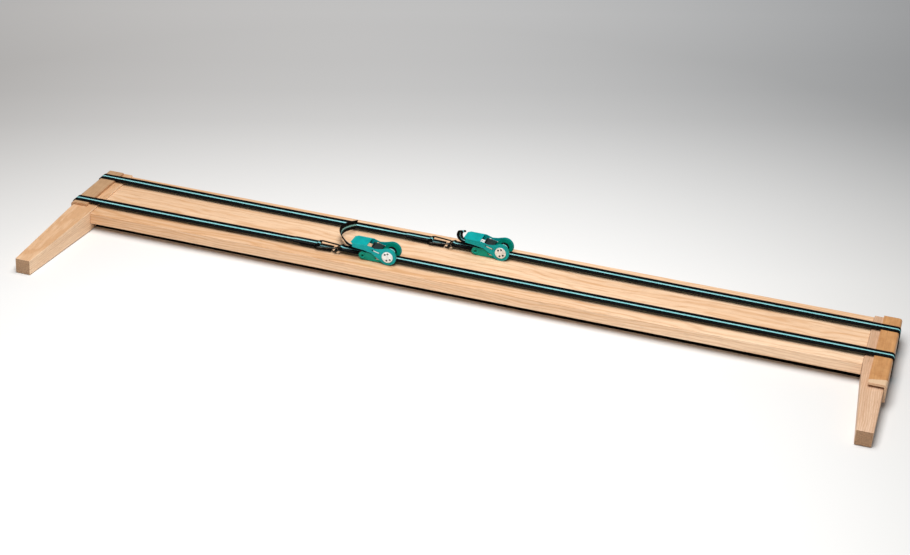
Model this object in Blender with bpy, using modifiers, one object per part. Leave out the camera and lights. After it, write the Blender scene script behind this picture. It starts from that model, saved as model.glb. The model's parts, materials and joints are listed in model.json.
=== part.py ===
"""Side frame of an oak bench, lying on the floor while its glue sets, held by two ratchet straps.

X runs along the rail, +Y points from the feet to the seat end of the legs, +Z is up from the floor.
The origin is under the middle of the whole object. Lengths are metres.
"""

import math

import bmesh
import bpy
from mathutils import Matrix, Vector

# Timber
FRAME_LENGTH = 1.800  # over the outer faces of the two legs
LEG_LENGTH = 0.454
LEG_WIDTH = 0.0515  # along X, at the rail
FOOT_WIDTH = 0.0330
LEG_TOP = 0.0474  # height of the leg's upper face at the rail
FOOT_TOP = 0.0340
RAIL_WIDTH = 0.212
RAIL_FRONT_Y = 0.013
RAIL_BOTTOM = 0.0200
RAIL_TOP = 0.0443
ARRIS = 0.0010  # rounding of the planed edges
DOWEL_RADIUS = 0.005
DOWEL_LENGTH = 0.060
DOWEL_YS = (0.058, 0.180)
GAP = 0.0003  # between pieces that touch
SHARP = math.radians(35)  # edges with a wider turn than this stay sharp

# Corner cauls, cut from an L-shaped moulding
CAUL_LEG = 0.038
CAUL_THICKNESS = 0.0052
CAUL_ROUND = 0.006
LEFT_CAUL_Y = (0.035, 0.219)
RIGHT_CAUL_Y = (-0.072, 0.224)

# Webbing
WEB_WIDTH = 0.025
WEB_THICKNESS = 0.0015
WEB_CLEARANCE = 0.0004  # to the cauls
WEB_TURN_X = 0.880  # where the turns round the ends meet the long runs
RUN_ROLL = math.radians(-2)  # the long runs lean a little about their own length
ROLL_RAMP = 0.070
RUN_STEP = 0.030
STITCHED = 0.056  # length of the sewn double layer behind the hook's crossbar
SEWN_HALF = WEB_THICKNESS + 0.0001  # half the thickness of a sewn double layer
FLAP_SEWN, FLAP_REACH, FLAP_DROOP = 0.040, 0.0315, 0.0005  # the flap, from the crossbar

# Straps: (y at the middle, yaw, spindle x, spindle height)
STRAPS = {
    "front": (0.0570, math.radians(-0.10), -0.163, 0.0646),
    "back": (0.1775, math.radians(-0.43), 0.053, 0.0635),
}

# Ratchet, about the spindle's axis: x along the strap, y across it, z up
SHAFT_RADIUS = 0.0060
SHAFT_SLOT = 0.0022
SHAFT_HALF_LENGTH = 0.0201
RUN_OFFSET = 0.00885  # from the spindle's axis down to the middle of the incoming webbing
RUN_START = 0.0092  # from the spindle's axis along X, where that webbing leaves the winding
ROLL_INNER, ROLL_OUTER = 0.0063, 0.0114
PLATE = 0.0016  # sheet thickness of the ratchet's frame and handle
FRAME_INSIDE, WHEEL_INSIDE, HANDLE_INSIDE, DISC_INSIDE = 0.0138, 0.0158, 0.0184, 0.02045
WHEEL_THICKNESS = 0.0022
WHEEL_TEETH = 12
WHEEL_TIP, WHEEL_ROOT = 0.0155, 0.0126
TOOTH_ANGLE = math.radians(159.5)  # of one steep tooth face
DISC_RADIUS, DISC_THICKNESS = 0.0123, 0.0015
DISC_HOLES, DISC_HOLE_RADIUS = 0.0076, 0.0021  # pitch radius and size of the end disc's holes
DISC_HOLE_ANGLES = (84, 134, 260, 322)
RIVET = (-0.0573, -0.0093)
RIVET_RADIUS, RIVET_BORE, RIVET_HEAD = 0.0035, 0.0020, 0.0060
EYE_RADIUS, HUB_RADIUS = 0.0090, 0.0183
HANDLE_END, HANDLE_TOP, HANDLE_HUB = -0.0856, 0.0176, 0.0190
WINDOW_X = -0.0480  # the handle's top plate ends here, and its window starts
PAWL_THICKNESS = 0.0020
PAWL_ANGLE = math.radians(15)  # of the handle's pawl above the webbing
LOCK_TOP = -0.0093  # upper face of the frame's pawl
LOCK_TIP = -0.0129
HANDLE_TIP = 0.0159  # distance of the handle's pawl from the spindle's axis
SPRING_SEAT_X = -0.0588
LIP_X = -0.0495
HOOK_WIRE, RING_WIRE = 0.0017, 0.0016
RING_BAR = (-0.1115, -0.0092)
HOOK_BAR = (-0.1630, -0.0097)
J_CENTRE = (-0.1220, -0.0125)
J_RADIUS = 0.0040


# ---------------------------------------------------------------- helpers

for old in list(bpy.data.objects):
    bpy.data.objects.remove(old)

PARTS = bpy.data.collections.new("clamped_bench_frame")
CUTTERS = bpy.data.collections.new("cutters")
for collection in (PARTS, CUTTERS):
    bpy.context.scene.collection.children.link(collection)


def finish(name, colour, roughness, metallic=0.0):
    """A plain material: base colour, roughness and metallic value."""
    made = bpy.data.materials.new(name)
    made.use_nodes = True
    shader = made.node_tree.nodes["Principled BSDF"]
    shader.inputs["Base Color"].default_value = (*colour, 1)
    shader.inputs["Roughness"].default_value = roughness
    shader.inputs["Metallic"].default_value = metallic
    return made


OAK = (0.74, 0.50, 0.31)
FINISHES = {
    "rail": ("oak_rail", OAK, 0.55),
    "leg": ("oak_leg", (0.72, 0.49, 0.30), 0.55),
    "dowel": ("beech_dowel", (0.70, 0.50, 0.33), 0.6),
    "caul": ("caul_brown", (0.56, 0.33, 0.13), 0.4),
    "webbing": ("black_webbing", (0.012, 0.013, 0.014), 0.8),
    "frame": ("green_steel", (0.0, 0.27, 0.18), 0.35),
    "handle": ("turquoise_steel", (0.0, 0.36, 0.36), 0.35),
    "steel": ("zinc_steel", (0.72, 0.72, 0.70), 0.3, 1.0),
}


def add(obj, look, parent=None):
    """Puts a finished piece in the parts collection, with its own material."""
    for holder in list(obj.users_collection):
        holder.objects.unlink(obj)
    PARTS.objects.link(obj)
    title, *values = FINISHES[look]
    obj.data.materials.clear()
    obj.data.materials.append(finish(f"{title}_{obj.name}", *values))
    if obj.type == "MESH":
        obj.data.shade_smooth()
        obj.data.set_sharp_from_angle(angle=SHARP)
    if parent:
        obj.parent = parent
    return obj


def circle(x, z, radius, count=32):
    """Points of a circle in the XZ plane."""
    return arc(x, z, radius, 0, 360, count)[:-1]


def arc(x, z, radius, start, end, count):
    """Points from one angle to another, in degrees, counted from +X towards +Z."""
    turns = [math.radians(start + (end - start) * i / count) for i in range(count + 1)]
    return [(x + radius * math.cos(a), z + radius * math.sin(a)) for a in turns]


def oblong(x0, x1, z0, z1):
    """A rectangle in the XZ plane."""
    return [(x0, z0), (x1, z0), (x1, z1), (x0, z1)]


def turned(points, angle):
    """Points turned about the origin, from +X towards +Z."""
    c, s = math.cos(angle), math.sin(angle)
    return [(x * c - z * s, x * s + z * c) for x, z in points]


def spread(a, b, step):
    """Points from a to b, no further apart than step, without b."""
    count = max(1, math.ceil(math.dist(a, b) / step))
    return [tuple(p + (q - p) * i / count for p, q in zip(a, b)) for i in range(count)]


def as_mesh(obj):
    """The curve as a welded mesh object in its own place, with no rotation left on it."""
    bpy.context.view_layer.update()
    graph = bpy.context.evaluated_depsgraph_get()
    data = bpy.data.meshes.new_from_object(obj.evaluated_get(graph))
    data.transform(obj.matrix_world)
    work = bmesh.new()
    work.from_mesh(data)
    bmesh.ops.remove_doubles(work, verts=work.verts, dist=1e-6)
    bmesh.ops.recalc_face_normals(work, faces=work.faces)
    work.to_mesh(data)
    work.free()
    name = obj.name
    bpy.data.objects.remove(obj)
    made = bpy.data.objects.new(name, data)
    CUTTERS.objects.link(made)
    made.hide_render = True
    made.display_type = "WIRE"
    return made


def outline(name, loops, depth, plane="XZ"):
    """A flat outline with its holes, as a filled 2D curve of that depth."""
    data = bpy.data.curves.new(name, "CURVE")
    data.dimensions = "2D"
    data.fill_mode = "BOTH"
    data.extrude = depth / 2
    for loop in loops:
        spline = data.splines.new("POLY")
        spline.points.add(len(loop) - 1)
        for point, (a, b) in zip(spline.points, loop):
            point.co = (a, b, 0, 1)
        spline.use_cyclic_u = True
    obj = bpy.data.objects.new(name, data)
    CUTTERS.objects.link(obj)
    if plane == "XZ":
        obj.rotation_euler = (math.pi / 2, 0, 0)
    return obj


def flat(name, loops, depth, y=0.0):
    """A mesh of that depth along Y with an outline in the XZ plane."""
    obj = outline(name, loops, depth)
    obj.location.y = y
    return as_mesh(obj)


def block(name, low, high):
    """A box from corner to corner."""
    bpy.ops.mesh.primitive_cube_add(size=1)
    obj = bpy.context.object
    obj.name = name
    size = [b - a for a, b in zip(low, high)]
    middle = [(a + b) / 2 for a, b in zip(low, high)]
    obj.data.transform(Matrix.Translation(middle) @ Matrix.Diagonal((*size, 1)))
    return obj


def rod(name, radius, length, centre, sides=24):
    """A cylinder along X."""
    bpy.ops.mesh.primitive_cylinder_add(radius=radius, depth=length, vertices=sides)
    obj = bpy.context.object
    obj.name = name
    obj.data.transform(Matrix.Translation(centre) @ Matrix.Rotation(math.pi / 2, 4, "Y"))
    return obj


def boolean(obj, other, operation):
    """A Boolean modifier with a hidden second shape, carried along by the first."""
    other.parent = obj
    for holder in list(other.users_collection):
        holder.objects.unlink(other)
    CUTTERS.objects.link(other)
    other.hide_render = True
    other.display_type = "WIRE"
    step = obj.modifiers.new(operation.lower(), "BOOLEAN")
    step.operation = operation
    step.object = other
    step.solver = "EXACT"
    return obj


def ease_edges(obj, width, segments=2):
    """Rounds the sharp edges."""
    step = obj.modifiers.new("eased_edges", "BEVEL")
    step.width = width
    step.segments = segments
    step.limit_method = "ANGLE"
    step.angle_limit = math.radians(40)
    return obj


def rounded(low, high, radius):
    """A rectangle in the XZ plane with rounded corners."""
    x0, z0, x1, z1 = low[0] + radius, low[1] + radius, high[0] - radius, high[1] - radius
    corners = ((x1, z1, 0), (x0, z1, 90), (x0, z0, 180), (x1, z0, 270))
    return [point for x, z, a in corners for point in arc(x, z, radius, a, a + 90, 3)]


def loft(name, rings):
    """A closed skin over rings that all have the same number of points."""
    work = bmesh.new()
    rows = [[work.verts.new(point) for point in ring] for ring in rings]
    for a, b in zip(rows, rows[1:]):
        for k in range(len(a)):
            n = (k + 1) % len(a)
            work.faces.new((a[k], a[n], b[n], b[k]))
    work.faces.new(rows[0])
    work.faces.new(rows[-1])
    bmesh.ops.recalc_face_normals(work, faces=work.faces)
    data = bpy.data.meshes.new(name)
    work.to_mesh(data)
    work.free()
    return bpy.data.objects.new(name, data)


def wire(name, points, radius, closed=False):
    """A round wire through the points."""
    data = bpy.data.curves.new(name, "CURVE")
    data.dimensions = "3D"
    data.bevel_depth = radius
    data.bevel_resolution = 2
    data.use_fill_caps = not closed
    spline = data.splines.new("POLY")
    spline.points.add(len(points) - 1)
    for point, place in zip(spline.points, points):
        point.co = (*place, 1)
    spline.use_cyclic_u = closed
    return bpy.data.objects.new(name, data)


# ---------------------------------------------------------------- timber


def make_rail():
    half = FRAME_LENGTH / 2 - LEG_WIDTH - GAP
    low = (-half, RAIL_FRONT_Y, RAIL_BOTTOM)
    high = (half, RAIL_FRONT_Y + RAIL_WIDTH, RAIL_TOP)
    rail = ease_edges(block("rail_board", low, high), ARRIS)
    for side in (-1, 1):
        for number, y in enumerate(DOWEL_YS):
            boolean(rail, dowel_hole(f"rail_hole_{side}_{number}", side, y), "DIFFERENCE")
    add(rail, "rail")


def dowel_centre(side, y):
    joint_x = FRAME_LENGTH / 2 - LEG_WIDTH - GAP / 2
    return (side * joint_x, y, (RAIL_BOTTOM + RAIL_TOP) / 2)


def dowel_hole(name, side, y):
    return rod(name, DOWEL_RADIUS + GAP, DOWEL_LENGTH + 4 * GAP, dowel_centre(side, y))


def make_dowels():
    for side, hand in ((-1, "left"), (1, "right")):
        for place, y in zip(("front", "back"), DOWEL_YS):
            dowel = rod(f"{hand}_{place}_dowel", DOWEL_RADIUS, DOWEL_LENGTH, dowel_centre(side, y))
            add(ease_edges(dowel, ARRIS), "dowel")


def make_leg(side, hand):
    """A leg with a straight outer face, tapered to the foot on its inner and its upper face."""
    outer, half = FRAME_LENGTH / 2, LEG_LENGTH / 2
    bottom = WEB_THICKNESS + GAP
    rings = []
    for y, inset in (
        (-half, ARRIS / 2),
        (-half + ARRIS, 0),
        (RAIL_FRONT_Y, 0),
        (half - ARRIS, 0),
        (half, ARRIS / 2),
    ):
        share = min(1, (y + half) / (RAIL_FRONT_Y + half))
        width = FOOT_WIDTH + (LEG_WIDTH - FOOT_WIDTH) * share
        top = FOOT_TOP + (LEG_TOP - FOOT_TOP) * share
        low = (outer - width + inset, bottom + inset)
        high = (outer - inset, top - inset)
        rings.append([(side * x, y, z) for x, z in rounded(low, high, ARRIS)])
    leg = loft(f"{hand}_leg", rings)
    for number, y in enumerate(DOWEL_YS):
        boolean(leg, dowel_hole(f"{hand}_leg_hole_{number}", side, y), "DIFFERENCE")
    add(leg, "leg")


def make_caul(side, hand, ends):
    """An L over the leg's outer upper edge, its corner rounded where the webbing turns."""
    face = FRAME_LENGTH / 2 + GAP
    top = LEG_TOP + GAP + CAUL_THICKNESS
    out = face + CAUL_THICKNESS
    section = [
        (out - CAUL_LEG, top - CAUL_THICKNESS),
        (face, top - CAUL_THICKNESS),
        (face, top - CAUL_LEG),
        (out, top - CAUL_LEG),
        *arc(out - CAUL_ROUND, top - CAUL_ROUND, CAUL_ROUND, 0, 90, 6),
        (out - CAUL_LEG, top),
    ]
    loop = [(side * x, z) for x, z in section]
    caul = flat(f"{hand}_corner_caul", [loop], ends[1] - ends[0], sum(ends) / 2)
    show(caul)
    add(caul, "caul")


def show(obj):
    obj.hide_render = False
    obj.display_type = "TEXTURED"
    return obj


# ---------------------------------------------------------------- webbing


def offset(path, distance):
    """The path moved sideways, to its left for a positive distance."""
    moved = []
    for i, (x, z) in enumerate(path):
        before, after = path[max(i - 1, 0)], path[min(i + 1, len(path) - 1)]
        along = Vector((after[0] - before[0], after[1] - before[1])).normalized()
        moved.append((x - along.y * distance, z + along.x * distance))
    return moved


def band(path, thickness=WEB_THICKNESS):
    """The closed outline of a strip along an open path."""
    return offset(path, thickness / 2) + offset(path, -thickness / 2)[::-1]


def webbing(name, loops, parent):
    return add(show(flat(name, loops, WEB_WIDTH)), "webbing", parent)


def turn_path(side):
    """Middle line of the webbing round one end of the frame, from the top run to the floor."""
    out = FRAME_LENGTH / 2 + GAP + CAUL_THICKNESS
    top = LEG_TOP + GAP + CAUL_THICKNESS
    clear = WEB_CLEARANCE + WEB_THICKNESS / 2
    x, z = out - CAUL_ROUND, top - CAUL_ROUND
    floor = WEB_THICKNESS / 2
    edge = FRAME_LENGTH / 2
    path = [
        (WEB_TURN_X + GAP / 2, top + clear),
        *arc(x, z, CAUL_ROUND + clear, 90, 0, 6),
        (out + clear, top - CAUL_LEG - 0.0012),
        (edge + 0.0036, 0.0052),
        *arc(edge - 0.0020, floor + 0.0050, 0.0050, -20, -90, 4),
        (WEB_TURN_X + GAP / 2, floor),
    ]
    return [(side * px, pz) for px, pz in path]


def loop_end(centre, inner, half, towards):
    """Outline of a sewn loop round a bar, its mouth towards -1 (left) or +1 (right)."""
    outer = inner + WEB_THICKNESS
    mouth = math.degrees(math.asin(half / outer))
    if towards < 0:
        return arc(*centre, outer, 180 - mouth, mouth - 180, 20)
    return arc(*centre, outer, -mouth, mouth - 360, 20)


def long_run(name, start, end, parent):
    """A long upper run, leaning a little about its own length and level at both of its ends."""
    rows = []
    for x, z in [*spread(start, end, RUN_STEP), end]:
        t = min(1, max(0, min(x - start[0], end[0] - x) / ROLL_RAMP))
        roll = RUN_ROLL * t * t * (3 - 2 * t)
        rows.append((Vector((x, 0, z)), Vector((0, math.cos(roll), -math.sin(roll)))))
    strip(name, rows, 0, parent)


def make_long_webbing(tag, line, spindle_x, spindle_z):
    """The long strap: from its sewn end over the left end, under the frame, to the spindle."""
    top = LEG_TOP + GAP + CAUL_THICKNESS + WEB_CLEARANCE + WEB_THICKNESS / 2
    sewn = (spindle_x + HOOK_BAR[0] - STITCHED - GAP, spindle_z + HOOK_BAR[1])
    long_run(f"{tag}_webbing_top_left", (-WEB_TURN_X + GAP / 2, top), sewn, line)

    for side, hand in ((-1, "left"), (1, "right")):
        webbing(f"{tag}_webbing_{hand}_turn", [band(turn_path(side))], line)

    reach = WEB_TURN_X - GAP / 2
    half = WEB_WIDTH / 2
    under = block(f"{tag}_webbing_under", (-reach, -half, 0), (reach, half, WEB_THICKNESS))
    add(under, "webbing", line)

    leave = (spindle_x + RUN_START, spindle_z - RUN_OFFSET)
    long_run(f"{tag}_webbing_top_right", leave, (WEB_TURN_X - GAP / 2, top), line)


def hook_webbing(tag, ratchet):
    """The sewn double end round the hook's crossbar, and the flap below it."""
    x, z = HOOK_BAR
    eye = HOOK_WIRE + GAP
    outer = [
        (x - STITCHED, z + SEWN_HALF),
        *loop_end(HOOK_BAR, eye, SEWN_HALF, -1),
        (x - STITCHED, z - SEWN_HALF),
    ]
    webbing(f"{tag}_webbing_hook_end", [outer, circle(x, z, eye, 16)], ratchet)
    clear = GAP + WEB_THICKNESS / 2
    high, low = z - SEWN_HALF - clear, z - eye - WEB_THICKNESS - clear
    flap = [
        (x - FLAP_SEWN, high),
        (x - 0.0085, high),
        (x - 0.0035, low),
        (x + 0.0050, low),
        (x + FLAP_REACH, low - FLAP_DROOP),
    ]
    webbing(f"{tag}_hook_flap", [band(flap)], ratchet)


def short_webbing(tag, ratchet):
    """The short sewn strap between the frame's rivet and the hook's ring."""
    ring_eye, rivet_eye = RING_WIRE + GAP, RIVET_RADIUS + GAP
    outer = loop_end(RIVET, rivet_eye, SEWN_HALF, -1) + loop_end(RING_BAR, ring_eye, SEWN_HALF, 1)
    holes = [circle(*RIVET, rivet_eye, 20), circle(*RING_BAR, ring_eye, 16)]
    webbing(f"{tag}_short_webbing", [outer, *holes], ratchet)


def smooth(points, steps):
    """A Catmull-Rom curve through the points, of any dimension."""
    found = []
    ends = [points[0], *points, points[-1]]
    for a, b, c, d in zip(ends, ends[1:], ends[2:], ends[3:]):
        a, b, c, d = (Vector(p) for p in (a, b, c, d))
        for i in range(steps):
            t = i / steps
            found.append(
                0.5 * (2 * b + (c - a) * t + (2 * a - 5 * b + 4 * c - d) * t**2
                       + (3 * b - a - 3 * c + d) * t**3)
            )
    return [*found, Vector(points[-1])]


# Middle lines of the free ends, from inside the handle outwards.
# Front: x, y, z and a twist in quarter turns; the far edge goes down as the twist grows.
FRONT_TAIL = [
    (-0.0124, 0.0000, 0.0003, 0.00),
    (-0.0300, 0.0000, -0.0002, 0.00),
    (-0.0550, 0.0000, 0.0006, 0.00),
    (-0.0760, 0.0005, 0.0014, 0.02),
    (-0.0905, 0.0050, 0.0004, 0.20),
    (-0.1040, 0.0170, -0.0022, 0.46),
    (-0.1180, 0.0320, -0.0026, 0.62),
    (-0.1295, 0.0480, -0.0024, 0.78),
    (-0.1348, 0.0630, -0.0020, 0.96),
    (-0.1348, 0.0770, -0.0022, 1.06),
    (-0.1306, 0.0875, -0.0018, 1.12),
    (-0.1245, 0.0950, -0.0010, 1.15),
    (-0.1172, 0.0995, 0.0002, 1.16),
]
# Back: x and z, with the share of the curl's turn out of square that is reached there.
BACK_TAIL = [
    (-0.0124, 0.0003, 0.00),
    (-0.0300, -0.0002, 0.00),
    (-0.0550, 0.0006, 0.00),
    (-0.0760, 0.0018, 0.10),
    (-0.0880, 0.0022, 0.50),
    (-0.0955, 0.0060, 0.80),
    (-0.0992, 0.0130, 1.00),
    (-0.0988, 0.0200, 1.00),
    (-0.0960, 0.0250, 1.00),
    (-0.0925, 0.0255, 0.90),
    (-0.0913, 0.0215, 0.75),
]
CURL_ACROSS = (0.30, -0.38)  # parts of the curl's axis that lie along x and z
TAIL_TIP = 0.006  # how far the slanted cut of the front tail's end reaches


def strip(name, rows, tip, parent):
    """A ribbon of webbing through rows of (middle, direction across)."""
    rings = []
    for i, (middle, across) in enumerate(rows):
        before, after = rows[max(i - 1, 0)][0], rows[min(i + 1, len(rows) - 1)][0]
        along = (after - before).normalized()
        through = across.cross(along).normalized() * WEB_THICKNESS / 2
        slant = along * tip if i == len(rows) - 1 else Vector()
        half = across * WEB_WIDTH / 2
        near, far = middle - half + slant, middle + half
        rings.append([near - through, far - through, far + through, near + through])
    add(loft(name, rings), "webbing", parent)


def loose_tail(tag, ratchet):
    """The free end: out to the left under the handle, then on edge in a bend to the back."""
    line = smooth(FRONT_TAIL, 4)
    rows = []
    for i, here in enumerate(line):
        before, after = line[max(i - 1, 0)], line[min(i + 1, len(line) - 1)]
        level = (after - before).to_3d().cross(Vector((0, 0, 1))).normalized()
        angle = here.w * math.pi / 2
        across = level * math.cos(angle) - Vector((0, 0, 1)) * math.sin(angle)
        rows.append((here.to_3d(), across))
    strip(f"{tag}_webbing_tail", rows, TAIL_TIP, ratchet)


def curled_tail(tag, ratchet):
    """The free end: out to the left under the handle, then curled up over itself."""
    rows = []
    for x, z, share in smooth(BACK_TAIL, 4):
        across = Vector((CURL_ACROSS[0] * share, 1, CURL_ACROSS[1] * share)).normalized()
        rows.append((Vector((x, 0, z)), across))
    strip(f"{tag}_webbing_tail", rows, 0, ratchet)


# ---------------------------------------------------------------- hook and ring


def make_hook(tag, ratchet):
    """A double hook bent from one wire, its crossbar in the long strap's loop."""
    half, narrow, corner = 0.0165, 0.0095, 0.003
    x, z = HOOK_BAR
    bend = [(p, q) for p, q in arc(*J_CENTRE, J_RADIUS, -90, 90, 8)]
    tip = (J_CENTRE[0] - 0.007, J_CENTRE[1] - J_RADIUS)
    one = [(tip[0], narrow, tip[1])] + [(p, narrow, q) for p, q in bend]
    rounding = [
        (x + corner - corner * math.sin(a), half - corner + corner * math.cos(a), z)
        for a in (math.radians(d) for d in (0, 30, 60, 90))
    ]
    path = one + rounding
    path += [(px, -py, pz) for px, py, pz in path[::-1]]
    add(wire(f"{tag}_wire_hook", path, HOOK_WIRE), "steel", ratchet)


def make_ring(tag, ratchet):
    """The rectangular wire ring between the double hook and the short strap."""
    half, corner = 0.0148, 0.0022
    left = (J_CENTRE[0] + GAP, J_CENTRE[1])
    quarter = [(math.cos(a), math.sin(a)) for a in (math.radians(d) for d in (0, 30, 60, 90))]
    run = RING_BAR[0] - left[0]
    points = []
    for u, v in ((1, 1), (0, 1), (0, -1), (1, -1)):
        for c, s in quarter if (u == 1) == (v == 1) else quarter[::-1]:
            reach = (corner * (1 - c)) if u == 0 else (run - corner * (1 - c))
            side = v * (half - corner * (1 - s))
            share = reach / run
            height = left[1] + (RING_BAR[1] - left[1]) * share
            points.append((left[0] + reach, side, height))
    add(wire(f"{tag}_hook_ring", points, RING_WIRE, closed=True), "steel", ratchet)


# ---------------------------------------------------------------- ratchet


def frame_side():
    """Outline of one side plate of the ratchet's frame: an eye, a low neck and a round hub."""
    x, z = RIVET
    return [
        *arc(x, z, EYE_RADIUS, 75, 270, 14),
        *arc(0, 0, HUB_RADIUS, -90, 138, 24),
        (-0.0200, 0.0020),
        (-0.0290, -0.0016),
    ]


def make_frame(tag, ratchet):
    """The ratchet's frame: two side plates joined by a floor plate with an upturned lip."""
    lock_slot = oblong(-0.0300, -0.0100, LOCK_TOP - PAWL_THICKNESS - 0.0004, LOCK_TOP + 0.0004)
    holes = [circle(0, 0, SHAFT_RADIUS + 0.0006, 24), circle(*RIVET, RIVET_RADIUS + GAP, 20)]
    middle = FRAME_INSIDE + PLATE / 2
    loops = [frame_side(), *holes, lock_slot]
    frame = flat(f"{tag}_ratchet_frame", loops, PLATE, -middle)
    far = flat(f"{tag}_far_side", loops, PLATE, middle)
    floor = -HUB_RADIUS + 0.0003
    lip = LIP_X - 0.0014
    bridge = [
        (lip, floor),
        (-0.0240, floor),
        (-0.0240, floor + 0.0014),
        (LIP_X, floor + 0.0014),
        (LIP_X, -0.0055),
        (lip, -0.0055),
    ]
    bridge = flat(f"{tag}_bridge", [bridge], 2 * middle)
    boolean(boolean(frame, bridge, "UNION"), far, "UNION")
    add(show(frame), "frame", ratchet)


def make_rivet(tag, ratchet):
    """The hollow rivet across the frame: a turned section about its own axis."""
    head = FRAME_INSIDE + PLATE + 0.0004
    end = head + 0.0014
    section = [
        (RIVET_BORE, end),
        (RIVET_HEAD, end - 0.0004),
        (RIVET_HEAD, head),
        (RIVET_RADIUS, head),
    ]
    section += [(r, -y) for r, y in section[::-1]]
    data = bpy.data.meshes.new(f"{tag}_tie_rivet")
    count = len(section)
    edges = [(i, (i + 1) % count) for i in range(count)]
    data.from_pydata([(r, y, 0) for r, y in section], edges, [])
    rivet = bpy.data.objects.new(f"{tag}_tie_rivet", data)
    rivet.location = (RIVET[0], 0, RIVET[1])
    spin = rivet.modifiers.new("turned", "SCREW")
    spin.axis = "Y"
    spin.steps = spin.render_steps = 24
    spin.use_merge_vertices = True
    spin.merge_threshold = 1e-6
    add(rivet, "frame", ratchet)


def half_shaft(inner, chord, upper):
    """A D section: the part of a circle beyond a chord."""
    start = math.degrees(math.asin(chord / inner))
    side = arc(0, 0, inner, start, 180 - start, 14)
    return side if upper else [(x, -z) for x, z in side]


def wheel_outline():
    """Saw teeth, each with its steep face towards the side that the webbing pulls it."""
    pitch = 2 * math.pi / WHEEL_TEETH
    points = []
    for i in range(WHEEL_TEETH):
        start = TOOTH_ANGLE + i * pitch
        for share, radius in ((0.0, WHEEL_ROOT), (0.88, WHEEL_TIP), (0.995, WHEEL_TIP)):
            angle = start + share * pitch
            points.append((radius * math.cos(angle), radius * math.sin(angle)))
    return points


def make_spindle(tag, ratchet):
    """The split shaft, its two toothed wheels and end discs, and the webbing wound on it."""
    for upper, word in ((True, "upper"), (False, "lower")):
        loops = [half_shaft(SHAFT_RADIUS, SHAFT_SLOT / 2, upper)]
        shaft = flat(f"{tag}_spindle_{word}_half", loops, 2 * SHAFT_HALF_LENGTH)
        add(show(shaft), "steel", ratchet)
    holes = [half_shaft(ROLL_INNER, WEB_THICKNESS / 2, upper) for upper in (True, False)]
    webbing(f"{tag}_webbing_roll", [circle(0, 0, ROLL_OUTER), *holes], ratchet)
    for side, word in ((-1, "near"), (1, "far")):
        loops = [wheel_outline(), circle(0, 0, SHAFT_RADIUS + GAP, 24)]
        place = side * (WHEEL_INSIDE + WHEEL_THICKNESS / 2)
        add(show(flat(f"{tag}_{word}_wheel", loops, WHEEL_THICKNESS, place)), "steel", ratchet)
        holes = [
            circle(DISC_HOLES * math.cos(a), DISC_HOLES * math.sin(a), DISC_HOLE_RADIUS, 12)
            for a in (math.radians(d) for d in DISC_HOLE_ANGLES)
        ]
        place = side * (DISC_INSIDE + DISC_THICKNESS / 2)
        loops = [circle(0, 0, DISC_RADIUS, 32), *holes]
        add(show(flat(f"{tag}_{word}_end_disc", loops, DISC_THICKNESS, place)), "steel", ratchet)


def make_lock(tag, ratchet):
    """The frame's pawl, a plate whose ears reach through the side plates, and its spring."""
    front, back = LOCK_TIP, -0.0415
    inside, ears, ear_back = FRAME_INSIDE - 0.0004, HANDLE_INSIDE - 0.0004, -0.0260
    half = [(back, inside), (ear_back, inside), (ear_back, ears), (front, ears)]
    notch = [(front, inside - 0.003), (-0.0160, inside - 0.003)]
    side = half + notch
    plan = side + [(x, -y) for x, y in side[::-1]]
    shape = outline(f"{tag}_locking_pawl", [plan], PAWL_THICKNESS, "XY")
    shape.location.z = LOCK_TOP - PAWL_THICKNESS / 2
    add(show(as_mesh(shape)), "steel", ratchet)
    height = LOCK_TOP - PAWL_THICKNESS / 2
    make_spring(f"{tag}_locking_spring", (LIP_X + 0.0008, height), back - 0.0008, 4, ratchet)


def make_spring(name, start, end_x, turns, ratchet):
    """A coil spring along X."""
    radius, gauge, per_turn = 0.0022, 0.00032, 10
    count = turns * per_turn
    points = []
    for i in range(count + 1):
        angle = 2 * math.pi * i / per_turn
        x = start[0] + (end_x - start[0]) * i / count
        points.append((x, radius * math.cos(angle), start[1] + radius * math.sin(angle)))
    add(wire(name, points, gauge), "steel", ratchet)


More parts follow.
